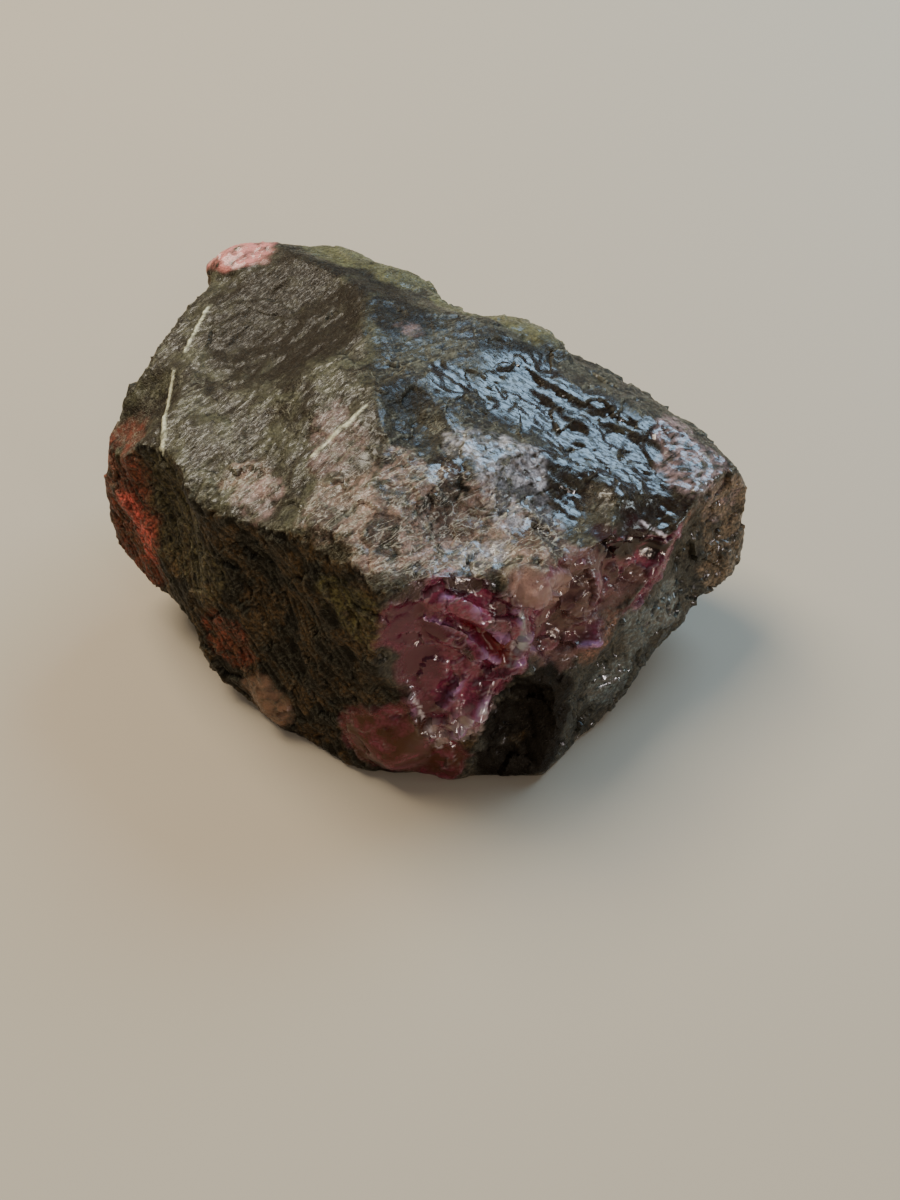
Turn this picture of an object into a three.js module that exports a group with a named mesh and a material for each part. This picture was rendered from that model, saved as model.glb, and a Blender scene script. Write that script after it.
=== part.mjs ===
// A rough piece of a tourmaline crystal, as broken out of the rock: one solid stone that rests on a flat break.
// Lengths are in millimetres and angles in degrees. +Z is up, +X runs along the stone and -Y is its glassy front.
// The origin is the middle of the bottom of the stone's box.
import * as THREE from 'three';
import { ImprovedNoise } from 'three/addons/math/ImprovedNoise.js';
import { mergeVertices } from 'three/addons/utils/BufferGeometryUtils.js';

// The stone's surface is found along rays from its heart, and spread evens out the triangles on the long shape.
const heart = new THREE.Vector3(-1.5, -1, 14.5);
const spread = new THREE.Vector3(30, 20, 15);
const raysAcross = 22;

// How strongly a corner of the surface stays by its own ray instead of sliding to the nearest sharp edge.
// It slides no further than the slide limit.
const hold = 0.05;
const slideLimit = 1.1;

// The fine relief of the broken skin: each wave has its length and its height, and it fades out at the rest face.
const waves = [
  { length: 7, height: 0.55 },
  { length: 3.2, height: 0.3 },
];
const reliefStart = 0.3;
const reliefFull = 2.5;

// A ray whose direction is this near to a flat side never meets it.
const grazing = 1e-6;

// How tall the egg shapes behind the scoops and lumps are, counted in their depths.
const eggDepths = 4;

// Each flat side has a name, the compass direction that it faces, how far it leans up, and a point on it.
const sides = [
  { name: 'top left', faces: 211, rise: 75, at: [-27.7, -2.4, 24] },
  { name: 'top right', faces: 354, rise: 72, at: [-6, -2.6, 29] },
  { name: 'top corner', faces: 335, rise: 68, at: [20.5, 3.4, 21.2] },
  { name: 'top front', faces: 302, rise: 74, at: [-4.7, -19.3, 25.5] },
  { name: 'right end', faces: 26, rise: 34, at: [26.8, -2, 19] },
  { name: 'right tip', faces: 10, rise: 5, at: [28, -0.5, 12] },
  { name: 'back bevel', faces: 30, rise: 62, at: [4.3, 10.6, 26.1] },
  { name: 'back corner', faces: 49, rise: 64, at: [-15, 17.9, 29.7] },
  { name: 'back', faces: 66, rise: 5, at: [8.3, 14, 22] },
  { name: 'back end', faces: 86, rise: 6, at: [-8, 20.5, 27] },
  { name: 'back left', faces: 155, rise: 12, at: [-20.4, 21.2, 27] },
  { name: 'left end', faces: 192, rise: 20, at: [-28.6, -2.4, 24] },
  { name: 'left front', faces: 222, rise: 5, at: [-22.2, -10.4, 12] },
  { name: 'front left', faces: 237, rise: 7, at: [-4.7, -19.5, 25.5] },
  { name: 'front foot', faces: 256, rise: -8, at: [-8, -20.6, 0.5] },
  { name: 'glassy front', faces: 268, rise: 3, at: [3.7, -20, 23] },
  { name: 'glassy corner', faces: 303, rise: 20, at: [12, -15.8, 12.2] },
  { name: 'right front', faces: 312, rise: 9, at: [9.1, -21, 0] },
  { name: 'under right', faces: 349, rise: -55, at: [22.6, -8.4, 5] },
  { name: 'under left', faces: 203, rise: -47, at: [-32, -2.6, 8] },
  { name: 'under back', faces: 75, rise: -50, at: [2, 14, 4] },
  { name: 'right edge', faces: 330, rise: -24, at: [24.6, -7.1, 7.4] },
  { name: 'left corner', faces: 178, rise: 14, at: [-31.9, 8, 17] },
  { name: 'back left foot', faces: 152, rise: -34, at: [-24, 13, 5] },
  { name: 'back right foot', faces: 42, rise: -26, at: [17, 10, 6] },
  { name: 'back left crown', faces: 130, rise: 48, at: [-20.6, 19.4, 28] },
  { name: 'rest', faces: 0, rise: -90, at: [0, 0, 0] },
];

// Shallow scoops broken out of the flat sides. Each is a dish with a compass direction and a lean, half sizes
// along and across its mouth, and a depth. Turn swings its length round from level.
const scoops = [
  { name: 'purple hollow', at: [0, -20.1, 17], faces: 276, rise: 14, turn: 75, mouth: [9, 6.6], depth: 2.3 },
  { name: 'purple corner', at: [4.6, -18.6, 19], faces: 300, rise: 0, turn: 80, mouth: [4.4, 2.6], depth: 1 },
  { name: 'pocket', at: [15.4, -11.6, 17.4], faces: 303, rise: 2, turn: 15, mouth: [5.4, 3.4], depth: 1.9 },
  { name: 'purple bowl', at: [9.8, -15.2, 16.4], faces: 296, rise: 14, turn: 50, mouth: [5, 3.8], depth: 1.4 },
  { name: 'dark recess', at: [5.6, -20.6, 8.6], faces: 288, rise: 0, turn: 85, mouth: [6.6, 4], depth: 2.6 },
  { name: 'top dip', at: [-3.4, -4.1, 28.1], faces: 340, rise: 66, turn: 60, mouth: [4.6, 2.8], depth: 0.8 },
  { name: 'upper shell', at: [5.6, 2.2, 25.4], faces: 340, rise: 66, turn: 70, mouth: [8, 5], depth: 0.8 },
  { name: 'middle shell', at: [9.2, -5.4, 23.3], faces: 320, rise: 64, turn: 20, mouth: [7, 4], depth: 0.7 },
  { name: 'right shell', at: [14, -1.6, 22.2], faces: 350, rise: 64, turn: 65, mouth: [6, 4.4], depth: 0.7 },
  { name: 'edge shell', at: [17.4, -7.2, 20], faces: 325, rise: 58, turn: 15, mouth: [5, 3.4], depth: 0.8 },
  { name: 'lip', at: [4.4, -11.5, 24.3], faces: 290, rise: 66, turn: 10, mouth: [6, 3.6], depth: 0.9 },
  { name: 'left slab', at: [-15.4, -6.2, 26.3], faces: 222, rise: 70, turn: 120, mouth: [11, 6], depth: 0.8 },
  { name: 'left crown', at: [-13, 6, 28.6], faces: 190, rise: 72, turn: 130, mouth: [12, 6.4], depth: 0.9 },
  { name: 'left brow', at: [-25.2, 2.6, 25], faces: 200, rise: 52, turn: 100, mouth: [6, 3], depth: 0.7 },
  { name: 'edge notch', at: [-9.5, -16.6, 26], faces: 240, rise: 45, turn: 5, mouth: [3.6, 2.2], depth: 1 },
  { name: 'edge bite', at: [-16, -12.2, 25.6], faces: 236, rise: 40, turn: 0, mouth: [4, 1.8], depth: 0.8 },
  { name: 'front slab', at: [-13.2, -15.8, 15], faces: 230, rise: 10, turn: 110, mouth: [8, 5], depth: 0.8 },
  { name: 'front foot', at: [-12.4, -18.2, 5], faces: 246, rise: -10, turn: 20, mouth: [6, 3], depth: 0.5 },
  { name: 'left slab side', at: [-22.4, -9, 15.6], faces: 216, rise: 12, turn: 115, mouth: [7.5, 4.4], depth: 0.6 },
  { name: 'left red hollow', at: [-30.4, -2, 15.5], faces: 205, rise: 4, turn: 80, mouth: [5.4, 2.8], depth: 0.5 },
  { name: 'right upper', at: [21.5, -6.6, 12.6], faces: 320, rise: 14, turn: 40, mouth: [8, 4.4], depth: 0.9 },
  { name: 'right middle', at: [15.4, -13.4, 9.6], faces: 306, rise: 4, turn: 50, mouth: [6, 3], depth: 0.7 },
  { name: 'right foot', at: [12.4, -17, 3.4], faces: 318, rise: 0, turn: 20, mouth: [4, 2.4], depth: 0.4 },
  { name: 'back gap', at: [1.4, 14.6, 25.6], faces: 50, rise: 40, turn: 0, mouth: [4, 2.6], depth: 0.9 },
  { name: 'back hollow', at: [6, 15.6, 14], faces: 60, rise: 12, turn: 30, mouth: [11, 6], depth: 1.2 },
  { name: 'back right', at: [20, 8.8, 12], faces: 56, rise: 0, turn: 120, mouth: [9, 6], depth: 1.1 },
  { name: 'back foot', at: [-8, 19.6, 10], faces: 88, rise: -16, turn: 60, mouth: [9, 5.6], depth: 1.1 },
  { name: 'back left slab', at: [-22.4, 15.4, 16.6], faces: 160, rise: 14, turn: 70, mouth: [5.6, 4.4], depth: 0.7 },
  { name: 'back left low', at: [-26, 8.6, 12], faces: 150, rise: 2, turn: 100, mouth: [6.5, 4.4], depth: 0.7 },
  { name: 'left under', at: [-24, 2, 3], faces: 206, rise: -44, turn: 30, mouth: [8, 3.4], depth: 0.6 },
  { name: 'right under', at: [20, 0, 4], faces: 346, rise: -48, turn: 20, mouth: [9, 5], depth: 1 },
];

// Steps, where the skin has come off in a slab: beyond a riser, the side drops to a tread that leans another way.
const steps = [
  { name: 'ledge step', at: [8, -13.6, 23.2], tread: [304, 64], riser: [262, 6] },
  { name: 'right step', at: [17.4, -12, 7], tread: [316, 0], riser: [300, -60] },
  { name: 'back step', at: [-2, 17.6, 18], tread: [70, -3], riser: [100, -50] },
];

// Lumps left standing on the sides, which are parts of egg shapes, with the height to which they stick out.
const lumps = [
  { name: 'nub', at: [-19.2, 20, 28.6], faces: 110, rise: 60, turn: 0, mouth: [3.2, 2], depth: 0.8 },
  { name: 'green bump', at: [-10, 20.6, 27], faces: 60, rise: 55, turn: 10, mouth: [4, 2.2], depth: 0.9 },
  { name: 'green bump beside', at: [-5, 18.2, 26.8], faces: 56, rise: 55, turn: 30, mouth: [3.2, 2], depth: 0.9 },
  { name: 'back bump', at: [7.8, 13.2, 24], faces: 50, rise: 50, turn: 0, mouth: [4, 2], depth: 0.8 },
  { name: 'lobe', at: [-4.9, -20.4, 5.6], faces: 255, rise: 10, turn: 80, mouth: [4.8, 3.4], depth: 1.5 },
  { name: 'flake', at: [1, -20.7, 4.6], faces: 270, rise: 14, turn: 75, mouth: [4.4, 2.4], depth: 0.9 },
  { name: 'foot flake', at: [-17.4, -14.8, 3.4], faces: 228, rise: 0, turn: 120, mouth: [3.6, 1.7], depth: 0.7 },
  { name: 'upper rib', at: [2, -18.2, 19.6], faces: 290, rise: 20, turn: -35, mouth: [3.4, 0.9], depth: 0.8 },
  { name: 'lower rib', at: [0.6, -18.2, 16.8], faces: 280, rise: 16, turn: -40, mouth: [3.8, 0.9], depth: 0.8 },
  { name: 'crest', at: [2.4, -19, 11], faces: 280, rise: 10, turn: 70, mouth: [3.6, 1.4], depth: 1.2 },
  { name: 'shell flake', at: [6.6, -15.4, 21.6], faces: 292, rise: 40, turn: 50, mouth: [2.2, 1.4], depth: 0.7 },
  { name: 'purple plate', at: [11.2, -13, 17.4], faces: 300, rise: 30, turn: 60, mouth: [3, 2], depth: 1.1 },
];

function direction(faces, rise) {
  const turn = THREE.MathUtils.degToRad(faces);
  const lean = THREE.MathUtils.degToRad(rise);
  return new THREE.Vector3(Math.cos(turn) * Math.cos(lean), Math.sin(turn) * Math.cos(lean), Math.sin(lean));
}

// A flat side is kept as its outward direction and its distance from the heart.
function flat(faces, rise, at) {
  const normal = direction(faces, rise);
  return { normal, reach: normal.dot(new THREE.Vector3(...at).sub(heart)) };
}

// How far along a ray from the heart a flat side is met.
function meetFlat({ normal, reach }, ray) {
  const closing = normal.dot(ray);
  return closing > grazing ? reach / closing : Infinity;
}

// An egg shape is kept as the step from stone space into the space where it is a ball of radius one. It is the
// given number of depths tall, and it is sunk or raised so that it crosses the side in the mouth asked for.
function egg({ at, faces, rise, turn, mouth, depth }, sunk) {
  const up = direction(faces, rise);
  const high = eggDepths * depth;
  const widen = 1 / Math.sqrt(1 - ((eggDepths - 1) / eggDepths) ** 2);
  const along = direction(faces + 90, 0).applyAxisAngle(up, THREE.MathUtils.degToRad(turn));
  const across = up.clone().cross(along);
  const middle = new THREE.Vector3(...at).addScaledVector(up, sunk ? high - depth : depth - high).sub(heart);
  const place = new THREE.Matrix4().makeBasis(
    along.multiplyScalar(mouth[0] * widen), across.multiplyScalar(mouth[1] * widen), up.multiplyScalar(high));
  place.setPosition(middle);
  return place.invert();
}

// Where a ray from the heart enters and leaves an egg shape, or nothing where it passes by.
function meetEgg(toBall, ray) {
  const start = new THREE.Vector3().applyMatrix4(toBall);
  const step = ray.clone().applyMatrix4(toBall).sub(start);
  const a = step.dot(step);
  const b = start.dot(step);
  const c = start.dot(start) - 1;
  const root = b * b - a * c;
  if (root <= 0) return null;
  return { enter: (-b - Math.sqrt(root)) / a, exit: (-b + Math.sqrt(root)) / a };
}

// The outward direction of an egg shape at a point that is given from the heart.
function eggNormal(toBall, point) {
  const inBall = point.clone().applyMatrix4(toBall);
  const turnOnly = new THREE.Matrix3().setFromMatrix4(toBall).transpose();
  return inBall.applyMatrix3(turnOnly).normalize();
}

const scoopBalls = scoops.map((scoop) => egg(scoop, true));
const lumpBalls = lumps.map((lump) => egg(lump, false));
const block = sides.map(({ faces, rise, at }) => flat(faces, rise, at));
const stepFlats = steps.map(({ at, tread, riser }) => [flat(...tread, at), flat(...riser, at)]);

// Where a ray from the heart leaves the stone: at the nearest flat side, or sooner where something is broken out,
// or later where a lump is left standing.
function surface(ray) {
  let distance = Infinity;
  let normal;
  for (const side of block) {
    const met = meetFlat(side, ray);
    if (met < distance) {
      distance = met;
      normal = side.normal;
    }
  }
  for (const [tread, riser] of stepFlats) {
    const later = meetFlat(tread, ray) > meetFlat(riser, ray) ? tread : riser;
    if (meetFlat(later, ray) < distance) {
      distance = meetFlat(later, ray);
      normal = later.normal;
    }
  }
  for (const ball of scoopBalls) {
    const hit = meetEgg(ball, ray);
    if (hit && hit.enter > 0 && hit.enter < distance && hit.exit > distance) {
      distance = hit.enter;
      normal = eggNormal(ball, ray.clone().multiplyScalar(distance)).negate();
    }
  }
  for (const ball of lumpBalls) {
    const hit = meetEgg(ball, ray);
    if (hit && hit.enter < distance && hit.exit > distance) {
      distance = hit.exit;
      normal = eggNormal(ball, ray.clone().multiplyScalar(distance));
    }
  }
  return { distance, normal };
}

const ball = new THREE.IcosahedronGeometry(1, raysAcross - 1);
ball.deleteAttribute('normal');
ball.deleteAttribute('uv');
const stone = mergeVertices(ball, 1e-5);
const place = stone.attributes.position;
const corners = stone.index.array;

const neighbours = Array.from({ length: place.count }, () => new Set());
for (let i = 0; i < corners.length; i += 3) {
  for (let k = 0; k < 3; k += 1) {
    neighbours[corners[i + k]].add(corners[i + (k + 1) % 3]).add(corners[i + (k + 2) % 3]);
  }
}
const rays = Array.from({ length: place.count }, (_, i) =>
  new THREE.Vector3().fromBufferAttribute(place, i).multiply(spread));

// The point that lies best on the flat pieces of surface met around one ray: it lands on an edge or a corner.
function settle(samples) {
  const middle = samples.reduce((sum, s) => sum.add(s.point), new THREE.Vector3()).divideScalar(samples.length);
  const spans = [hold, 0, 0, 0, hold, 0, 0, 0, hold];
  const pull = new THREE.Vector3();
  for (const { point, normal } of samples) {
    const n = normal.toArray();
    for (let row = 0; row < 3; row += 1) {
      for (let column = 0; column < 3; column += 1) spans[3 * row + column] += n[row] * n[column];
    }
    pull.addScaledVector(normal, normal.dot(point.clone().sub(middle)));
  }
  return pull.applyMatrix3(new THREE.Matrix3().set(...spans).invert()).add(middle);
}

rays.forEach((ray, i) => {
  const around = [ray, ...[...neighbours[i]].map((j) => ray.clone().lerp(rays[j], 0.5))];
  const samples = around.map((towards) => {
    const unit = towards.clone().normalize();
    const { distance, normal } = surface(unit);
    return { point: unit.multiplyScalar(distance).add(heart), normal };
  });
  const slide = settle(samples).sub(samples[0].point).clampLength(0, slideLimit);
  const point = slide.add(samples[0].point);
  place.setXYZ(i, point.x, point.y, Math.max(point.z, 0));
});

// The broken skin is uneven everywhere but on the rest face.
stone.computeVertexNormals();
const outward = stone.attributes.normal;
const noise = new ImprovedNoise();
for (let i = 0; i < place.count; i += 1) {
  const point = new THREE.Vector3().fromBufferAttribute(place, i);
  const fade = THREE.MathUtils.smoothstep(point.z, reliefStart, reliefFull);
  for (const { length, height } of waves) {
    const lift = fade * height * noise.noise(point.x / length, point.y / length, point.z / length);
    point.addScaledVector(new THREE.Vector3().fromBufferAttribute(outward, i), lift);
  }
  place.setXYZ(i, point.x, point.y, Math.max(point.z, 0));
}

// The stone is moved so that the middle of the bottom of its box is at the origin.
stone.computeBoundingBox();
const box = stone.boundingBox;
stone.translate(-(box.min.x + box.max.x) / 2, -(box.min.y + box.max.y) / 2, -box.min.z);
stone.computeVertexNormals();

const crystal = new THREE.Mesh(
  stone,
  new THREE.MeshStandardMaterial({ color: 0x3a2a2c, roughness: 0.4, metalness: 0 }),
);
crystal.name = 'tourmaline_crystal';

const part = new THREE.Group();
part.add(crystal);

export default part;
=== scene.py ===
import math

import bmesh
import bpy
import numpy as np
from mathutils import Matrix, Vector, noise


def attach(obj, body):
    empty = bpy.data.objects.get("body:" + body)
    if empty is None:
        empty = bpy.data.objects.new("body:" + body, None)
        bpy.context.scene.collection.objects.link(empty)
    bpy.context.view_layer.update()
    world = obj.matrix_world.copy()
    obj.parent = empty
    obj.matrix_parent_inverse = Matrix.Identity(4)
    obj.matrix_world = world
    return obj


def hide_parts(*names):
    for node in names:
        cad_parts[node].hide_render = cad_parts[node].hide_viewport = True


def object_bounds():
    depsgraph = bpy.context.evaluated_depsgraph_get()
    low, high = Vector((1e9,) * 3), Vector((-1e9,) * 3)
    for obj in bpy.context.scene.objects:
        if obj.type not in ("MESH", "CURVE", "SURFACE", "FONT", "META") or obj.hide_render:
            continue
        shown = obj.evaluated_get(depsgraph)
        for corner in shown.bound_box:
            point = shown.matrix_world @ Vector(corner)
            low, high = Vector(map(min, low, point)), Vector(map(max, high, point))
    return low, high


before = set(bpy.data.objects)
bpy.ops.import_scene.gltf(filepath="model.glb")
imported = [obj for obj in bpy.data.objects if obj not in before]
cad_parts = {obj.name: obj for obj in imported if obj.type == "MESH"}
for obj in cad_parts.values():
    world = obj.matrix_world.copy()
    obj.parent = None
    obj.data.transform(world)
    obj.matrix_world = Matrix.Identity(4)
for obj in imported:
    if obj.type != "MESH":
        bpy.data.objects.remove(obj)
cad_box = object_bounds()

# The noise vectors give the small breaks their slopes. Without a fixed seed they would change with each run.
NOISE_SEED = 10
noise.seed_set(NOISE_SEED)

MM = 0.001

# The block frame's origin in the row frame, in millimetres: part.mjs moves the finished stone by this much.
BLOCK_ORIGIN = np.array([2.508, -0.577, 0.0])

# The photograph's view: the camera looks down at the block frame's origin from this far away.
VIEW_PITCH = math.radians(50)
VIEW_RANGE = 105.0
LENS_MM = 30.0
SENSOR_MM = 36.0

# Surface mesh: an even mesh all over, which is halved again where it faces up or to the front
VOXEL = 0.50
CREASE_ANGLE = math.radians(26)
SHARP_ANGLE = math.radians(36)
WELD_DISTANCE = 0.001
FACES_UP = 0.35
FACES_FRONT = -0.25

# The rest face is everything below this height, and the relief has its full height from the next one up.
FLAT_BELOW = 0.25
RELIEF_ABOVE = 1.2

# How much each kind of noise is moved along per seed, so that two seeds give two patterns
WAVE_STEP = 17.31
CELL_STEP = 9.17


def unit(vector):
    vector = np.asarray(vector, float)
    return vector / np.linalg.norm(vector)


def facing(compass, rise):
    """The direction that faces a compass angle and leans up by the rise, both in degrees."""
    turn, lean = math.radians(compass), math.radians(rise)
    return np.array([math.cos(turn) * math.cos(lean), math.sin(turn) * math.cos(lean), math.sin(lean)])


def ramp(values, low, high):
    """0 below low, 1 above high and a smooth rise between them. It falls instead where low is above high."""
    t = np.clip((values - low) / (high - low), 0.0, 1.0)
    return t * t * (3.0 - 2.0 * t)


def wave(points, size, seed=0.0):
    """Smooth noise from -1 to 1 whose bumps are about size millimetres across. Size may differ per axis."""
    scaled = points / np.asarray(size, float) + seed * WAVE_STEP
    return np.array([noise.noise(p) for p in scaled.tolist()])


def ridges(points, size, seed=0.0):
    """Noise with sharp crests, from 0 in the troughs to 1 on the crests."""
    return 1.0 - np.abs(wave(points, size, seed)) * 1.6


def along_axes(points, fibre, up):
    """The points in a frame whose first axis runs along the fibre and whose last points out of the side."""
    up = unit(up)
    fibre = unit(np.asarray(fibre) - np.dot(fibre, up) * up)
    return points @ np.stack([fibre, np.cross(up, fibre), up], axis=1)


def chips(points, size, tilt, seed=0.0):
    """Small flat breaks at random tilts: each cell of about size millimetres slopes its own way."""
    scaled = points / np.asarray(size, float) + seed * CELL_STEP
    heights = []
    for p in scaled.tolist():
        distances, centres = noise.voronoi(p)
        slope = noise.noise_vector(centres[0] * 5.3)
        heights.append(slope.dot(Vector(p) - centres[0]))
    return np.array(heights) * tilt * float(np.mean(size))


def tones(points, size, seed=0.0):
    """A tone from 0 to 1 for each of the flat breaks that chips makes with the same size and seed."""
    scaled = points / np.asarray(size, float) + seed * CELL_STEP
    centres = [noise.voronoi(p)[1][0] for p in scaled.tolist()]
    return np.array([0.5 + 0.9 * noise.noise_vector(centre * 3.7).x for centre in centres])


def spots(points, places, unevenness):
    """1 inside round places and 0 outside them, with an uneven border. A place is a point and a radius."""
    mask = np.zeros(len(points))
    for centre, radius in places:
        away = np.linalg.norm(points - np.asarray(centre, float), axis=1) + unevenness
        mask = np.maximum(mask, ramp(away / radius, 1.1, 0.8))
    return mask


def to_path(points, path):
    """How far each point is from a path of straight pieces. A path may be given in plan, without heights."""
    points = points[:, :len(path[0])]
    nearest = np.full(len(points), np.inf)
    for start, end in zip(path[:-1], path[1:]):
        start, end = np.asarray(start, float), np.asarray(end, float)
        run = end - start
        t = np.clip((points - start) @ run / (run @ run), 0.0, 1.0)
        nearest = np.minimum(nearest, np.linalg.norm(points - start - t[:, None] * run, axis=1))
    return nearest


def read_points(mesh):
    points = np.zeros(len(mesh.vertices) * 3)
    mesh.vertices.foreach_get("co", points)
    normals = np.zeros(len(mesh.vertices) * 3)
    mesh.vertex_normals.foreach_get("vector", normals)
    return points.reshape(-1, 3), normals.reshape(-1, 3)


def bulge(mesh):
    """How far each point stands out of its neighbours: above 0 on edges and below 0 in cracks."""
    points, normals = read_points(mesh)
    ends = np.zeros(len(mesh.edges) * 2, int)
    mesh.edges.foreach_get("vertices", ends)
    first, second = ends.reshape(-1, 2).T
    step = points[second] - points[first]
    step /= np.maximum(np.linalg.norm(step, axis=1), 1e-9)[:, None]
    drop_first = -np.sum(step * normals[first], axis=1)
    drop_second = np.sum(step * normals[second], axis=1)
    total = np.bincount(first, drop_first, len(points)) + np.bincount(second, drop_second, len(points))
    return total / np.maximum(np.bincount(ends, minlength=len(points)), 1)


def fine_surface(node):
    """A copy of the CAD solid with its small triangles rounded, its edges kept and an even fine mesh."""
    mesh = node.data.copy()
    work = bmesh.new()
    work.from_mesh(mesh)
    bmesh.ops.remove_doubles(work, verts=work.verts, dist=WELD_DISTANCE * MM)
    crease = work.edges.layers.float.new("crease_edge")
    for edge in work.edges:
        if len(edge.link_faces) == 2 and edge.calc_face_angle() > CREASE_ANGLE:
            edge[crease] = 1.0
    work.to_mesh(mesh)
    work.free()
    piece = bpy.data.objects.new("crystal", mesh)
    bpy.context.scene.collection.objects.link(piece)
    rounding = piece.modifiers.new("rounding", "SUBSURF")
    rounding.levels = rounding.render_levels = 2
    voxels = piece.modifiers.new("voxels", "REMESH")
    voxels.mode = "VOXEL"
    voxels.voxel_size = VOXEL * MM
    bpy.context.view_layer.update()
    fine = bpy.data.meshes.new_from_object(piece.evaluated_get(bpy.context.evaluated_depsgraph_get()))
    piece.modifiers.clear()
    piece.data = fine
    fine.name = "crystal"
    work = bmesh.new()
    work.from_mesh(fine)
    seen = {face for face in work.faces if face.normal.z > FACES_UP or face.normal.y < FACES_FRONT}
    edges = [edge for edge in work.edges if all(face in seen for face in edge.link_faces)]
    bmesh.ops.subdivide_edges(work, edges=edges, cuts=1, use_grid_fill=True)
    work.to_mesh(fine)
    work.free()
    return piece


# Where things are on the stone, in the block frame: each area is a list of places, a point and a radius.
PLACES = {
    "glass": [((-0.5, -18.5, 20), 5), ((1, -19, 14.5), 5), ((4.5, -18, 18), 4.5), ((0, -20, 10.5), 3.6),
              ((10, -14.6, 17), 5), ((15.4, -10.8, 17.6), 5), ((6.5, -16, 21), 2.4), ((18, -9, 17.4), 3)],
    "deep": [((-3.4, -19.2, 19), 3.4), ((-3, -19.4, 14), 3.2), ((-1.6, -20, 10.6), 2)],
    "lobe": [((-4.9, -20.8, 5.6), 4.8), ((-1.6, -21, 3.4), 3.4)],
    "knob": [((1.6, -20, 8.6), 2.6), ((-0.6, -21, 7.6), 1.6)],
    "gloss": [((7, 3, 25), 5), ((13, -1, 22.4), 6), ((9, -6, 23), 4), ((17.3, -4.6, 20.3), 5),
              ((19, 1, 20.4), 3.4), ((0, 1.7, 27.2), 2.4), ((0, -8.8, 26.5), 2)],
    # These lighter silvery patches are painted sheen
    "silver_sheen": [((-1.6, 4.6, 27.8), 3.6), ((3, 3, 26.4), 2.6), ((4.5, 11.5, 26), 3.2)],
    # This pale patch on the top is partly its own pale colour and partly painted reflection of the window's
    # glints
    "white": [((5, -6.8, 24.6), 4), ((5.7, -9.3, 22.9), 3.2), ((1.6, -5.6, 26), 2.2),
              ((2.6, -14.6, 23.4), 2)],
    "lip": [((0.5, -13.6, 25), 5.6), ((6, -12.4, 22.5), 4), ((-8, -13, 26.2), 3.4), ((-4, -15.4, 25.6), 4),
            ((-3.6, -10, 27), 2.6), ((-16.4, -8.8, 25.6), 2.2)],
    "patches": [((7.2, -12.4, 21.8), 2.6), ((0.8, -11.8, 23.9), 2.2), ((-10.4, -8.8, 27), 1.2)],
    "shade": [((13, -10.4, 20), 1.8), ((15.4, -9.8, 18.8), 2.2), ((17.6, -8.8, 17.2), 1.4)],
    "shoulder": [((22.1, -1.4, 19.6), 3.6), ((20.4, 2.6, 20), 2.6), ((24.6, -1.3, 16), 2.4)],
    "pink": [((-8.7, -7.2, 27.4), 2.6), ((-9.6, -4.4, 27.8), 1.8), ((-15.2, -10.6, 25), 2.2),
             ((-3.6, 7.4, 28.6), 1.2)],
    "umber": [((-14.4, 9.6, 28), 8.5), ((-9, 13, 29), 5.5), ((4.6, 0, 26), 2.4), ((-3.7, -2, 28), 2.2),
              ((6, 9, 25), 4), ((-4, 8, 29), 3)],
    "olive": [((-10, 20.6, 27), 4.4), ((-5, 18.4, 26.6), 4), ((7.8, 13.4, 24), 4), ((1.6, 15.4, 25.6), 4)],
    "bank": [((-7, -19.2, 20.6), 2.6), ((-9, -17.8, 22), 2)],
    "slab": [((-24, -6, 20), 4.4), ((-22, -8.4, 15.6), 4), ((-26.6, -4.4, 15), 3)],
    "maroon": [((-31, 0, 16), 6.5), ((-30, -2, 10), 5), ((-28.9, -1, 20.6), 4), ((-20.4, -12.4, 8.6), 3.4)],
    "flakes": [((-17.1, -15.6, 3.6), 3.2)],
    "nub": [((-19.6, 20, 29), 3.6), ((-21.6, 19, 28), 2)],
    "tip": [((26.3, -1.4, 13.3), 3.4), ((24.8, -1.3, 15.9), 2.6), ((25.6, -3.6, 10), 2.8)],
    "plate": [((11, -13.8, 17.6), 4.2), ((14.6, -11, 16.8), 3.2), ((9, -16, 14), 3.2)],
    "teal": [((17.4, -11.6, 9.6), 2.6), ((19.8, -8.7, 9.7), 2.4), ((14.5, -14, 5.5), 2.8),
             ((16, -12, 12), 1.8)],
    # Painted shade, near black: the recess beside the purple break, which lies in shade, and one small spot
    # on the top
    "recess_shade": [((7.7, -18.1, 9.5), 2.6), ((9.6, -18.2, 9.6), 1.9), ((8.4, -19.2, 6.5), 2.6),
             ((8, -20.3, 3.3), 2.2), ((4.8, -19.4, 6.5), 2.6), ((4.5, -20.8, 2.5), 2.4),
             ((6.4, -18.8, 11.4), 1.6), ((1.2, -9.8, 25.2), 0.8)],
}

# The crest between the top's two sides, as it lies in plan
CREST_LEFT = [(-4.9, 10.7), (-9.4, -9.6)]

# The purple break's ribs, crests and lips: a path, its half width and its height.
RIBS = [
    ([(-0.5, -18, 21.8), (1.5, -18.4, 20.7), (4.2, -18.2, 17.4)], 0.8, 0.9),
    ([(-1.9, -17.9, 20.3), (0.4, -18.0, 17.7), (3.7, -18.8, 14.9)], 0.9, 1.0),
    ([(5.1, -17.4, 19.6), (6, -17.5, 16.4), (5.4, -18.6, 14.2)], 1.1, 0.7),
    ([(2.2, -19, 15.4), (0.6, -19.5, 12.3), (-0.4, -20.4, 10.6)], 0.7, 0.7),
    ([(-3.4, -20.3, 11.6), (-2.8, -21, 8), (-1.9, -21.2, 4.6)], 0.7, 0.6),
    ([(6.6, -17.4, 14.2), (9.4, -16.8, 13), (12.6, -15, 12.4)], 0.8, 0.7),
    ([(3.1, -20.3, 11.7), (1.8, -20.7, 9.6), (0.4, -20.6, 7.1)], 0.8, 0.7),
]

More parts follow.
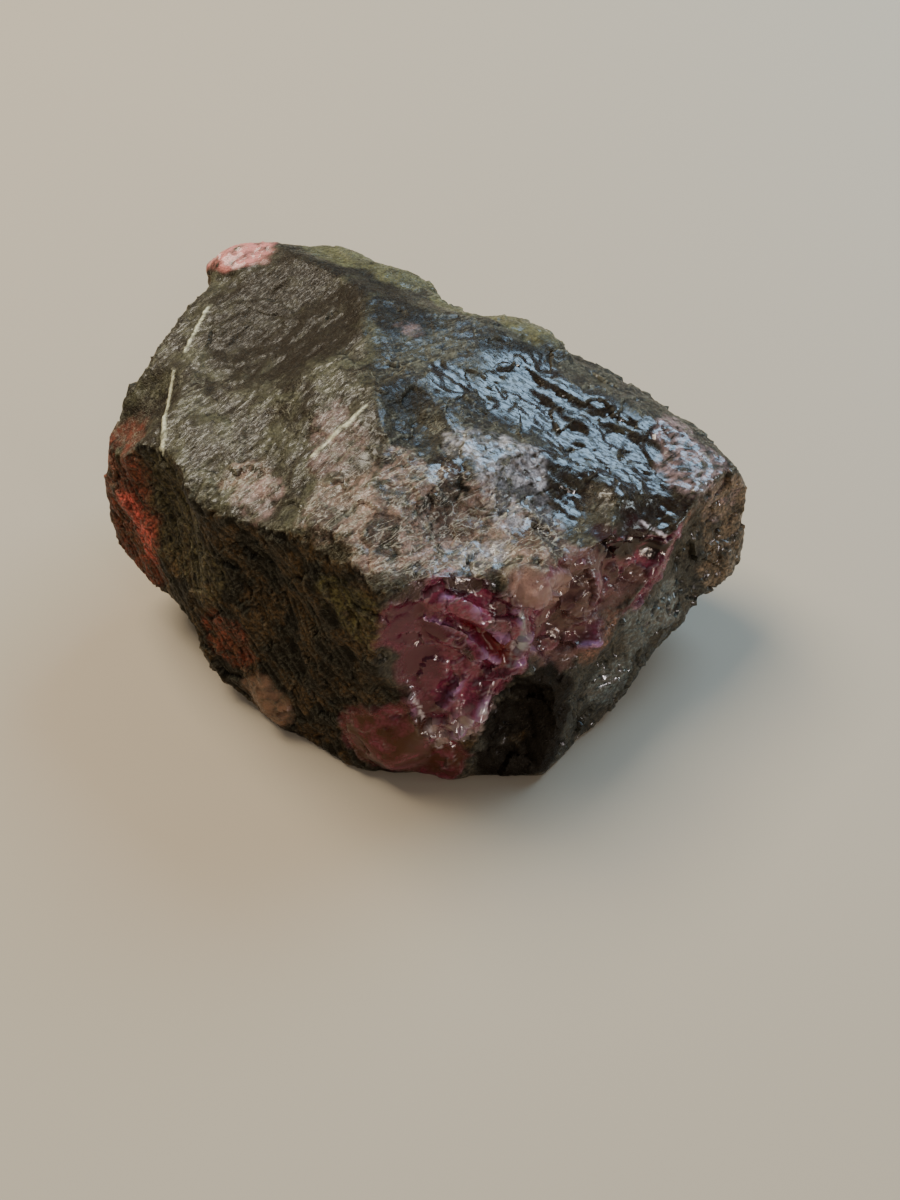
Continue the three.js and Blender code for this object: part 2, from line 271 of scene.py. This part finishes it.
# A rib is this much wider at its foot than its half width says.
RIB_FOOT = 1.5

# The groove under the top's ragged front edge on the right, with its half width and its depth
GROOVE = ([(12.6, -10.4, 20.2), (15.4, -9.8, 18.8), (18, -8.8, 17.2)], 1.5, -0.7)

# The middle line of the flat shell that stands off the break below the lip, and how far it and its rim reach
SHELL = [(5.2, -16.7, 21.6), (6.8, -15.8, 20.8), (8.4, -14.6, 19.4)]
SHELL_REACH = 1.4
SHELL_RIM = 1.8

# Stripes of another colour, as areas: their paths and their half width
STRIPES = {
    "lines": (0.17, [[(-24.5, 5), (-24.7, 2.6), (-24.3, -1), (-24, -4.6)],
                     [(-22.1, 12.3), (-23.1, 9.7), (-23.8, 7.4)],
                     [(-6.8, -3.9), (-8.2, -5.3), (-9, -5.7), (-10.9, -7.5)]]),
    # This thin pale strip at the end of the ribs is a painted highlight along its edge
    "sliver_highlight": (0.38, [[(5.7, -17.4, 19), (5.6, -17.8, 16.4), (4.8, -18.7, 14.4)]]),
    # The crests carry a painted highlight
    "crests": (0.22, [[(-3.1, -20.3, 11.9), (-2.1, -20.7, 8.8), (-0.9, -20.9, 5.1)],
                      [(3.1, -20.3, 11.7), (1.8, -20.7, 9.6), (0.4, -20.6, 7.1)],
                      [(5.4, -17.2, 19.4), (5.1, -17.8, 16.6), (4.4, -18.6, 14.4)],
                      [(12.6, -8.8, 20.9), (16.1, -7.9, 19.6), (18.6, -8.3, 18.2)]]),
    # This red stripe on the left end is a painted glow, where the thin end looks lit through
    "painted_glow": (1.9, [[(-28.9, -2.6, 16.4), (-28.2, -3.6, 15), (-27.8, -4.4, 12.2)]]),
    "tufts": (1.6, [[(-26.5, -4, 22.8), (-20, -9, 24.2), (-14.6, -13, 24.3), (-8, -16.4, 25)]]),
    "ridge": (1.4, [[(25.3, -2.5, 18.1), (22, -5.7, 17.7), (18.1, -9.3, 16.5), (14.6, -13, 14.2),
                     (12, -15.8, 11.6)]]),
    # The ribs' lines carry a painted highlight
    "ribs": (0.42, [path for path, width, height in RIBS]),
    "shell": (1.6, [SHELL]),
    "trough": (1.0, [[(1.2, -18.2, 19.6), (3, -18.2, 17.6), (4.4, -18.4, 15.2)]]),
}

# Directions of the fibres on the top and on the left and front sides, and of the ripples on the glossy top
FIBRE_TOP = (0.72, 0.66, 0.2)
FIBRE_SIDE = (0.42, -0.47, -0.78)
RIPPLE_RUN = (0.88, -0.42, -0.2)

# The ways out of the sides that the fibres and the ripples lie on
TOP_OUT = (0, 0, 1)
SIDE_OUT = (-0.7, -0.7, 0.1)
GLOSS_OUT = (0.3, 0, 1)

# The compass angle that the right side of the front faces
RIGHT_SIDE_FACES = 312

# The larger flat breaks in the glass and on the lip
PLATE_SIZE = 2.7
PLATE_SEED = 5

# How far the outlines of the breaks are bent, over bends of this size
BEND = 1.1
BEND_SIZE = 3.4

# How high each kind of relief stands
RISE = {
    "breaks": 0.5,
    "side_chips": 0.13,
    "right_side_chips": 0.25,
    "tufts": 0.6,
    "grit": 0.25,
    "grit_on_lip": 0.35,
    "grit_on_white": 0.3,
    "top_fibres": 0.09,
    "side_fibres": 0.30,
    "swells": 0.20,
    "ripples": 0.09,
    "plates": 0.9,
    "glass_chips": 0.4,
    "shell": 0.7,
    "lobe": 0.4,
    "grit_on_lobe": 0.1,
    "knob": 0.5,
    "knob_chips": 0.7,
    "lines": 0.08,
}


def relief(stone, bent, top, right_side, area):
    """How far each point stands out of the CAD surface, in millimetres."""
    clear = np.clip(area["glass"] + area["lobe"], 0, 1)
    skin = 1.0 - clear
    gloss = area["gloss"]
    top_axes = along_axes(stone, FIBRE_TOP, TOP_OUT)
    side_axes = along_axes(stone, FIBRE_SIDE, SIDE_OUT)
    ripple_axes = along_axes(bent, RIPPLE_RUN, GLOSS_OUT)
    grit = chips(stone, 0.7, 0.34, 2)

    # Breaks and chips on the skin, fewer on the top and on the smooth left end
    broken = 1.3 - 0.9 * top + 0.4 * area["right"]
    lift = RISE["breaks"] * (chips(stone, 3.4, 0.34, 1) + chips(bent, 1.7, 0.40, 3)) * skin * broken
    chipped = RISE["side_chips"] + RISE["right_side_chips"] * right_side
    rough_side = (1 - top) * (1 - 0.7 * area["maroon"]) * skin
    lift += chipped * chips(bent, 0.95, 1.0, 11) * rough_side
    gritty = RISE["grit"] + RISE["grit_on_lip"] * area["lip"] + RISE["grit_on_white"] * area["white"]
    lift += gritty * grit * skin

    # Fibres of the skin, in tufts along the upper edge on the left
    tufts = area["tufts"] * ramp(wave(stone, 2.2, 21), -0.1, 0.3)
    lift += RISE["tufts"] * (ridges(side_axes, (3.0, 0.7, 1.6), 13) - 0.5) * tufts
    lift += RISE["top_fibres"] * (ridges(top_axes, (2.6, 0.5, 1.0), 2) - 0.5) * top * (1 - gloss) * skin
    side_fibres = ridges(side_axes, (6.0, 0.8, 1.6), 4) - 0.5
    lift += RISE["side_fibres"] * side_fibres * (1 - top) * (1 - right_side) * skin

    # Swells and ripples where the top shines
    lift += RISE["swells"] * (ridges(ripple_axes, (6.0, 1.7, 2.4), 6) - 0.5) * gloss * skin
    lift += RISE["ripples"] * (ridges(ripple_axes, (2.4, 0.62, 1.2), 7) - 0.5) * gloss * skin

    # The glass: plates, chips, the shell, the lobe, the knob and the ribs
    plated = np.maximum(area["glass"] - 0.7 * area["deep"], 0.4 * area["lip"])
    lift += RISE["plates"] * chips(bent, PLATE_SIZE, 0.6, PLATE_SEED) * plated
    lift += RISE["glass_chips"] * chips(bent, 1.2, 0.8, 6) * area["glass"] * (1 - 0.7 * area["deep"])
    lift += RISE["shell"] * ramp(to_path(stone, SHELL), SHELL_RIM, SHELL_REACH)
    lift += (RISE["lobe"] * chips(bent, 2.2, 0.35, 5) + RISE["grit_on_lobe"] * grit) * area["lobe"]
    knobbly = np.maximum(area["knob"], 0.4 * area["nub"])
    lift += RISE["knob"] * area["knob"] + RISE["knob_chips"] * chips(bent, 0.8, 1.0, 12) * knobbly
    for path, width, height in (*RIBS, GROOVE):
        lift += height * np.clip(1.0 - to_path(stone, path) / (RIB_FOOT * width), 0, 1) ** 2
    lift += RISE["lines"] * area["lines"]
    return lift * ramp(stone[:, 2], FLAT_BELOW, RELIEF_ABOVE)


def sculpt(piece):
    """Moves the fine surface along its normals, and keeps each area as a point mask for the material."""
    mesh = piece.data
    points, normals = read_points(mesh)
    stone = points / MM - BLOCK_ORIGIN

    unevenness = 0.9 * wave(stone, 2.6, 3) + 0.5 * wave(stone, 0.9, 4)
    area = {name: spots(stone, places, unevenness) for name, places in PLACES.items()}
    up = normals[:, 2]
    top = ramp(up + 0.08 * unevenness, 0.5, 0.72)
    (x0, y0), (x1, y1) = CREST_LEFT
    crest_x = x0 + (stone[:, 1] - y0) * (x1 - x0) / (y1 - y0)
    area["top"] = top
    area["right"] = top * ramp(stone[:, 0] - crest_x + unevenness, -1.0, 1.5)
    area["right_side"] = ramp(normals @ facing(RIGHT_SIDE_FACES, 0), 0.72, 0.88) * (1 - top)
    to_ribs = np.min([to_path(stone, path) for path, width, height in RIBS], axis=0)
    area["glass"] *= np.maximum(ramp(up, 0.74, 0.52), ramp(to_ribs, 2.4, 1.6))
    area["deep"] *= area["glass"]
    area["gloss"] *= top
    for name, (width, paths) in STRIPES.items():
        away = np.min([to_path(stone, path) for path in paths], axis=0)
        area[name] = ramp(away / width + 0.3 * unevenness, 1.2, 0.5)
    area["ribs"] *= area["glass"]
    area["lines"] *= ramp(up, 0.5, 0.75)
    area["tufts"] *= 1 - area["glass"]
    bent = stone + BEND * np.stack([wave(stone, BEND_SIZE, seed) for seed in (8, 18, 28)], axis=1)
    area["tone"] = tones(bent, PLATE_SIZE, PLATE_SEED)

    lift = relief(stone, bent, top, area["right_side"], area)
    points = points + normals * (lift * MM)[:, None]
    low, high = np.array(cad_box[0]), np.array(cad_box[1])
    points = np.clip(points, low, high)
    flat = stone[:, 2] < FLAT_BELOW
    points[flat, 2] = low[2]
    mesh.vertices.foreach_set("co", points.ravel())
    mesh.update()
    mesh.shade_smooth()
    mesh.set_sharp_from_angle(angle=SHARP_ANGLE)
    curve = bulge(mesh)
    area["edges"] = ramp(curve, 0.06, 0.34)
    # The hollows, where shade is painted into the colour
    area["cracks"] = ramp(curve, -0.05, -0.30)
    for name, values in area.items():
        layer = mesh.attributes.new(name, "FLOAT", "POINT")
        layer.data.foreach_set("value", values.astype(np.float32))


class Nodes:
    """A short way to write a material's node tree."""

    def __init__(self, material):
        material.use_nodes = True
        self.tree = material.node_tree
        self.tree.nodes.clear()

    def add(self, kind, **settings):
        node = self.tree.nodes.new("ShaderNode" + kind)
        for name, value in settings.items():
            setattr(node, name, value)
        return node

    def link(self, source, target):
        if isinstance(source, (int, float, tuple)):
            target.default_value = source
        else:
            self.tree.links.new(source, target)

    def mask(self, name):
        return self.add("Attribute", attribute_name=name).outputs["Fac"]

    def mix(self, factor, first, second, blend="MIX"):
        node = self.add("Mix", data_type="RGBA", blend_type=blend)
        self.link(factor, node.inputs[0])
        self.link(first, node.inputs[6])
        self.link(second, node.inputs[7])
        return node.outputs[2]

    def number(self, operation, first, second=0.0, clamp=False):
        node = self.add("Math", operation=operation, use_clamp=clamp)
        self.link(first, node.inputs[0])
        self.link(second, node.inputs[1])
        return node.outputs[0]

    def plus(self, first, second):
        return self.number("ADD", first, second)

    def minus(self, first, second):
        return self.number("SUBTRACT", first, second)

    def times(self, first, second):
        return self.number("MULTIPLY", first, second)

    def larger(self, first, second):
        return self.number("MAXIMUM", first, second)

    def span(self, value, low, high, out_low=0.0, out_high=1.0):
        node = self.add("MapRange")
        for index, entry in enumerate((value, low, high, out_low, out_high)):
            self.link(entry, node.inputs[index])
        return node.outputs[0]

    def spread(self, size, detail=4.0, stretch=(1, 1, 1), turn=(0, 0, 0), warp=0.0):
        """Noise whose bumps are about size millimetres across, longer where stretch is more than 1."""
        place = self.add("Mapping", vector_type="TEXTURE")
        place.inputs["Rotation"].default_value = tuple(math.radians(a) for a in turn)
        place.inputs["Scale"].default_value = stretch
        self.link(self.add("TexCoord").outputs["Object"], place.inputs["Vector"])
        texture = self.add("TexNoise")
        texture.inputs["Scale"].default_value = 1.0 / (size * MM)
        texture.inputs["Detail"].default_value = detail
        texture.inputs["Distortion"].default_value = warp
        self.link(place.outputs[0], texture.inputs["Vector"])
        return texture.outputs["Fac"]


# Tints over the skin and over the glass, in the order in which they are laid: the area, the colour,
# and the noise that breaks the area up, with its size in millimetres and the range over which the
# tint fades in.
TINTS = [
    ("umber", (0.012, 0.007, 0.003), 1.4, 0.24, 0.50),
    # These lighter silvery patches are painted sheen
    ("silver_sheen", (0.070, 0.062, 0.040), 0.9, 0.42, 0.62),
    ("gloss", (0.014, 0.008, 0.005), 1.3, 0.34, 0.56),
    ("lip", (0.205, 0.124, 0.090), 0.8, 0.36, 0.70),
    # This pale patch is partly its own pale colour and partly painted reflection
    ("white", (0.230, 0.205, 0.200), 0.5, 0.36, 0.64),
    ("patches", (0.050, 0.026, 0.016), 1.4, 0.26, 0.50),
    ("shoulder", (0.260, 0.165, 0.150), 0.6, 0.38, 0.64),
    ("pink", (0.200, 0.125, 0.105), 0.8, 0.36, 0.66),
    ("olive", (0.130, 0.118, 0.050), 1.0, 0.25, 0.65),
    ("bank", (0.080, 0.066, 0.022), 0.8, 0.36, 0.64),
    ("slab", (0.070, 0.055, 0.024), 0.5, 0.36, 0.64),
    ("maroon", (0.150, 0.034, 0.018), 1.2, 0.32, 0.66),
    # This red stripe is a painted glow
    ("painted_glow", (0.460, 0.075, 0.052), 1.0, 0.26, 0.60),
    ("tip", (0.170, 0.110, 0.060), 0.8, 0.34, 0.64),
    ("ridge", (0.170, 0.072, 0.042), 0.7, 0.32, 0.64),
    ("teal", (0.070, 0.090, 0.080), 0.35, 0.46, 0.62),
]
GLASS_TINTS = [
    ("deep", (0.120, 0.010, 0.030), 2.0, 0.20, 0.50),
    ("trough", (0.160, 0.003, 0.006), 1.5, 0.20, 0.40),
    ("plate", (0.200, 0.095, 0.075), 1.0, 0.30, 0.60),
    # The ribs' lilac is a painted highlight along their tops
    ("ribs", (0.560, 0.260, 0.460), 1.0, 0.40, 0.62),
    ("lobe", (0.085, 0.018, 0.006), 1.6, 0.25, 0.60),
    ("knob", (0.460, 0.310, 0.260), 0.8, 0.38, 0.68),
    # This thin pale strip is a painted highlight along its edge
    ("sliver_highlight", (0.380, 0.350, 0.330), 0.8, 0.36, 0.60),
    # The crests' near white is a painted highlight
    ("crests", (0.780, 0.640, 0.620), 0.6, 0.42, 0.58),
    ("shade", (0.022, 0.005, 0.005), 1.2, 0.20, 0.46),
    ("flakes", (0.230, 0.115, 0.062), 0.7, 0.28, 0.66),
    ("shell", (0.440, 0.250, 0.190), 1.2, 0.20, 0.54),
    ("nub", (0.780, 0.270, 0.220), 0.6, 0.30, 0.56),
]


# Colours of the skin and the glass
SIDE_DARK = (0.003, 0.002, 0.001, 1)
SIDE_LIGHT = (0.056, 0.031, 0.012, 1)
TOP_DARK = (0.022, 0.015, 0.008, 1)
TOP_LIGHT = (0.066, 0.060, 0.031, 1)
TOP_RIGHT = (0.024, 0.015, 0.008, 1)
RIGHT_SIDE = (0.028, 0.025, 0.016, 1)
PIT = (0.006, 0.004, 0.002, 1)
# Painted shade in the cracks
CRACK_SHADE = (0.004, 0.003, 0.002, 1)
# Near black painted shade for the recess
RECESS_SHADE = (0.004, 0.002, 0.001, 1)
LIP_FIBRE = (0.52, 0.45, 0.34, 1)
PALE_FIBRE = (0.36, 0.33, 0.22, 1)
THIN_LINE = (0.78, 0.74, 0.48, 1)
GLASS_DEEP = (0.050, 0.004, 0.008, 1)
GLASS_LIGHT = (0.380, 0.054, 0.105, 1)
GLASS_CLOT = (0.020, 0.001, 0.003, 1)
GLASS_THREAD = (0.42, 0.28, 0.30, 1)
# A painted highlight for the glass's edges
GLASS_EDGE_HIGHLIGHT = (0.50, 0.32, 0.34, 1)

# How the skin and the glass reflect light and let it through
STONE_IOR = 1.63
SKIN_SHINE = 0.12
SKIN_SHINE_TINT = (1.0, 0.86, 0.62, 1)
COAT_ROUGHNESS = 0.17
COAT_IOR = 1.6
GLASS_ROUGHNESS = 0.13
GLASS_CLEARNESS = 0.35
GLASS_ABSORBS = (0.55, 0.08, 0.22, 1)
ABSORPTION_DENSITY = 220.0
BUMP_HEIGHT = 0.16

# Turns of the fine fibres on the top, of the ripples and of the tints' grain, in degrees
FIBRE_TURN = (0, 0, 43)
RIPPLE_TURN = (0, 0, -25)
TINT_TURN = (0, 0, 35)


def tinted(n, colour, tints):
    for name, tint, size, low, high in tints:
        grain = n.spread(size, 5.0, (1.8, 1, 1), TINT_TURN, 0.4)
        factor = n.times(n.mask(name), n.span(grain, low, high))
        colour = n.mix(factor, colour, (*tint, 1))
    return colour


def threads(n, size, stretch, turn, width):
    """Thin crooked lines, as where the skin has split along its fibres."""
    away = n.number("ABSOLUTE", n.minus(n.spread(size, 5.0, stretch, turn, 0.5), 0.5))
    return n.span(away, 0.0, width, 1.0, 0.0)


def skin_colour(n):
    """Near black on the sides to olive grey on the top, with pale threads that lie along the fibres."""
    top = n.mask("top")
    patches = n.spread(3.0, 8.0, warp=0.6)
    side = n.mix(n.span(patches, 0.46, 0.58), SIDE_DARK, SIDE_LIGHT)
    crown = n.mix(n.span(patches, 0.42, 0.60), TOP_DARK, TOP_LIGHT)
    colour = n.mix(top, side, crown)
    colour = n.mix(n.times(n.mask("right"), 0.7), colour, TOP_RIGHT)
    colour = n.mix(n.times(n.mask("right_side"), 0.7), colour, RIGHT_SIDE)
    pits = n.span(n.spread(0.6, 8.0, warp=0.5), 0.38, 0.50, 0.75, 0.0)
    colour = n.mix(pits, colour, PIT)
    colour = tinted(n, colour, TINTS)

    # A tone of its own for each flat break, pale fibres on the lip and fine specks all over
    plates = n.times(n.larger(n.mask("lip"), n.mask("white")), 0.75)
    colour = n.mix(plates, colour, n.span(n.mask("tone"), 0.3, 0.7, 0.35, 1.9), "MULTIPLY")
    lip_threads = n.times(threads(n, 0.8, (3.0, 1.0, 1.0), (0, 0, 38), 0.026), 0.6)
    colour = n.mix(n.times(n.mask("lip"), lip_threads), colour, LIP_FIBRE)
    specks = n.span(n.spread(0.28, 5.0, warp=0.4), 0.40, 0.62, 0.45, 1.9)
    colour = n.mix(n.span(top, 0.0, 1.0, 1.0, 0.5), colour, specks, "MULTIPLY")

    # Pale fibres in clusters, pale worn edges and painted shade in the cracks
    grain = n.span(n.spread(0.12, 6.0, (4.5, 1.0, 1.0), FIBRE_TURN, 0.8), 0.54, 0.74, 0.0, 0.6)
    split_top = n.times(threads(n, 1.1, (3.5, 1.0, 1.0), FIBRE_TURN, 0.010), 0.6)
    split_across = n.times(threads(n, 2.2, (1.0, 3.0, 1.0), (0, 0, 20), 0.005), 0.7)
    on_top = n.times(n.larger(n.larger(grain, split_top), split_across), top)
    split_side = n.times(threads(n, 0.9, (1.0, 1.0, 3.0), (20, 30, 0), 0.014), 0.25)
    clusters = n.span(n.spread(1.4, 7.0, warp=0.8), 0.42, 0.62, 0.05, 1.0)
    pale = n.number("MULTIPLY", n.larger(on_top, split_side), clusters, clamp=True)
    worn = n.times(n.mask("edges"), n.span(top, 0.0, 1.0, 0.3, 0.9))
    # Painted shade: darker in the cracks, more on the sides than on the top
    crack_shade = n.times(n.mask("cracks"), n.span(top, 0.0, 1.0, 0.7, 0.35))
    colour = n.mix(crack_shade, colour, CRACK_SHADE)
    pale = n.larger(pale, n.times(worn, n.span(grain, 0.0, 0.3, 0.45, 1.0)))
    dull = n.span(n.larger(n.mask("gloss"), n.mask("umber")), 0.0, 1.0, 0.9, 0.25)
    colour = n.mix(n.times(pale, dull), colour, PALE_FIBRE)
    broken = n.span(n.spread(0.5, 4.0), 0.34, 0.54, 0.15, 0.95)
    return n.mix(n.times(n.mask("lines"), broken), colour, THIN_LINE)


def stone_colour(n, clear):
    """The skin's colour and the glass's, which is darker in some breaks than in others."""
    depth = n.plus(n.times(n.mask("tone"), 0.6), n.times(n.spread(1.6, 3.0), 0.4))
    glass = n.mix(n.span(depth, 0.30, 0.66), GLASS_DEEP, GLASS_LIGHT)
    glass = n.mix(n.span(n.spread(0.3, 7.0), 0.42, 0.54, 0.4, 0.0), glass, GLASS_CLOT)
    glass = n.mix(n.times(threads(n, 1.5, (1.0, 1.0, 2.0), (0, 40, 0), 0.012), 0.3), glass, GLASS_THREAD)
    colour = n.mix(clear, skin_colour(n), glass)
    # Painted highlight: the glass is lighter on its convex edges
    colour = n.mix(n.times(n.mask("edges"), n.times(clear, 0.6)), colour, GLASS_EDGE_HIGHLIGHT)
    colour = tinted(n, colour, GLASS_TINTS)
    # Painted shade: the recess is painted near black
    return n.mix(n.mask("recess_shade"), colour, RECESS_SHADE)


def wetness(n, clear):
    """How strongly each spot shines: glints on the top, streaks where it ripples, and the glass's edges."""
    glints = n.span(n.spread(0.16, 6.0, (4.0, 1.0, 1.0), FIBRE_TURN, 0.6), 0.50, 0.64, 0.05, 0.40)
    streaks = n.span(n.spread(0.30, 6.0, (4.0, 1.0, 1.0), RIPPLE_TURN, 0.9), 0.42, 0.56, 0.03, 0.9)
    shards = n.span(n.spread(2.2, 6.0, warp=0.6), 0.50, 0.62, 0.0, 0.5)
    duller = n.plus(n.times(n.mask("umber"), 0.45), n.times(n.mask("right"), 0.3))
    wet = n.times(n.minus(n.mask("top"), duller), glints)
    for weight, strength in (
        (n.times(n.mask("gloss"), streaks), 1.0),
        (n.times(n.larger(n.mask("white"), n.mask("shoulder")), streaks), 1.0),
        (n.times(n.mask("right"), n.times(shards, streaks)), 1.0),
        (n.mask("right_side"), 0.35),
        (n.mask("teal"), 1.0),
        (n.mask("glass"), 0.25),
        (n.times(clear, n.mask("edges")), 1.0),
        (n.mask("knob"), 0.6),
        (n.larger(n.mask("sliver_highlight"), n.mask("crests")), 0.9),
        (n.larger(n.mask("nub"), n.mask("flakes")), 0.5),
    ):
        wet = n.larger(wet, n.times(weight, strength))
    # Less shine where the recess is painted in shade
    return n.times(wet, n.span(n.mask("recess_shade"), 0.0, 1.0, 1.0, 0.15))


def stone_material():
    material = bpy.data.materials.new("tourmaline")
    n = Nodes(material)
    shader = n.add("BsdfPrincipled")
    out = n.add("OutputMaterial")
    n.link(shader.outputs[0], out.inputs["Surface"])
    clear = n.larger(n.mask("glass"), n.mask("lobe"))
    n.link(stone_colour(n, clear), shader.inputs["Base Color"])

    # Silky skin with glinting flecks, a shiny rippled top and smooth glass
    silky = n.span(n.spread(0.22, 6.0), 0.38, 0.62, 0.60, 0.28)
    shiny = n.larger(n.times(n.mask("gloss"), 0.9), clear)
    rough = n.add("Mix", data_type="FLOAT")
    n.link(shiny, rough.inputs[0])
    n.link(silky, rough.inputs[2])
    n.link(GLASS_ROUGHNESS, rough.inputs[3])
    n.link(rough.outputs[0], shader.inputs["Roughness"])
    shader.inputs["IOR"].default_value = STONE_IOR
    shader.inputs["Specular IOR Level"].default_value = SKIN_SHINE
    shader.inputs["Specular Tint"].default_value = SKIN_SHINE_TINT
    shader.inputs["Coat Roughness"].default_value = COAT_ROUGHNESS
    shader.inputs["Coat IOR"].default_value = COAT_IOR
    n.link(wetness(n, clear), shader.inputs["Coat Weight"])

    # Glass lets some light into the stone, and the stone soaks it up
    n.link(n.times(clear, GLASS_CLEARNESS), shader.inputs["Transmission Weight"])
    inside = n.add("VolumeAbsorption")
    inside.inputs["Color"].default_value = GLASS_ABSORBS
    inside.inputs["Density"].default_value = ABSORPTION_DENSITY
    n.link(inside.outputs[0], out.inputs["Volume"])

    # Relief finer than the mesh
    fine = n.spread(0.16, 3.0)
    fibres = n.spread(0.2, 3.0, (4.5, 1.0, 1.0), FIBRE_TURN, 0.4)
    height = n.plus(n.times(fine, 0.6), n.times(fibres, 0.6))
    bump = n.add("Bump")
    bump.inputs["Distance"].default_value = BUMP_HEIGHT * MM
    n.link(n.span(shiny, 0.0, 1.0, 1.0, 0.2), bump.inputs["Strength"])
    n.link(height, bump.inputs["Height"])
    n.link(bump.outputs[0], shader.inputs["Normal"])
    return material


# The floor, the sky and the lights. A light has a name, the direction it stands in, how far away it is
# and its size in metres, its power in watts and its colour.
FLOOR_SIZE = 2.0
FLOOR_COLOUR = (0.50, 0.41, 0.29, 1)
FLOOR_ROUGHNESS = 0.7
SKY_COLOUR = (0.75, 0.78, 0.82, 1)
SKY_STRENGTH = 0.18
LIGHTS = [
    ("window", (0.50, 0.54, 0.68), 0.5, (0.28, 0.26), 2.2, (0.44, 0.70, 1.0)),
    ("room", (-0.40, 0.36, 0.84), 0.6, (0.3, 0.3), 4.2, (1.0, 0.92, 0.78)),
    ("glint", (0.3, -0.75, 0.6), 0.6, (0.04, 0.04), 0.25, (1.0, 0.92, 0.88)),
    ("low_front", (0.62, -0.76, 0.16), 0.6, (0.04, 0.04), 0.8, (1.0, 0.90, 0.92)),
    ("low_right", (0.95, -0.10, 0.28), 0.6, (0.10, 0.10), 0.3, (0.78, 0.92, 1.0)),
]

# Nearest thing that the camera shows, in metres
CLIP_START = 0.005


def add_floor():
    mesh = bpy.data.meshes.new("floor")
    half = FLOOR_SIZE / 2
    corners = [(-half, -half, 0), (half, -half, 0), (half, half, 0), (-half, half, 0)]
    mesh.from_pydata(corners, [], [(0, 1, 2, 3)])
    floor = bpy.data.objects.new("floor", mesh)
    bpy.context.scene.collection.objects.link(floor)
    material = bpy.data.materials.new("floor")
    material.use_nodes = True
    shader = material.node_tree.nodes["Principled BSDF"]
    shader.inputs["Base Color"].default_value = FLOOR_COLOUR
    shader.inputs["Roughness"].default_value = FLOOR_ROUGHNESS
    mesh.materials.append(material)


def add_light(name, towards, away, size, power, colour):
    data = bpy.data.lights.new(name, "AREA")
    data.shape = "RECTANGLE"
    data.size, data.size_y = size
    data.energy = power
    data.color = colour
    light = bpy.data.objects.new(name, data)
    bpy.context.scene.collection.objects.link(light)
    place = Vector(unit(towards)) * away
    light.matrix_world = Matrix.Translation(place) @ place.to_track_quat("Z", "Y").to_matrix().to_4x4()


def add_camera():
    data = bpy.data.cameras.new("camera")
    data.lens = LENS_MM
    data.sensor_width = SENSOR_MM
    data.clip_start = CLIP_START
    camera = bpy.data.objects.new("camera", data)
    bpy.context.scene.collection.objects.link(camera)
    back = Vector((0, -math.cos(VIEW_PITCH), math.sin(VIEW_PITCH)))
    place = (Vector(BLOCK_ORIGIN) + back * VIEW_RANGE) * MM
    camera.matrix_world = Matrix.Translation(place) @ back.to_track_quat("Z", "Y").to_matrix().to_4x4()
    bpy.context.scene.camera = camera


def add_world():
    world = bpy.data.worlds.new("studio")
    world.use_nodes = True
    sky = world.node_tree.nodes["Background"]
    sky.inputs["Color"].default_value = SKY_COLOUR
    sky.inputs["Strength"].default_value = SKY_STRENGTH
    bpy.context.scene.world = world


crystal = fine_surface(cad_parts["tourmaline_crystal"])
sculpt(crystal)
crystal.data.materials.clear()
crystal.data.materials.append(stone_material())
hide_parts("tourmaline_crystal")
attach(crystal, "root")

add_floor()
for light in LIGHTS:
    add_light(*light)
add_world()
add_camera()
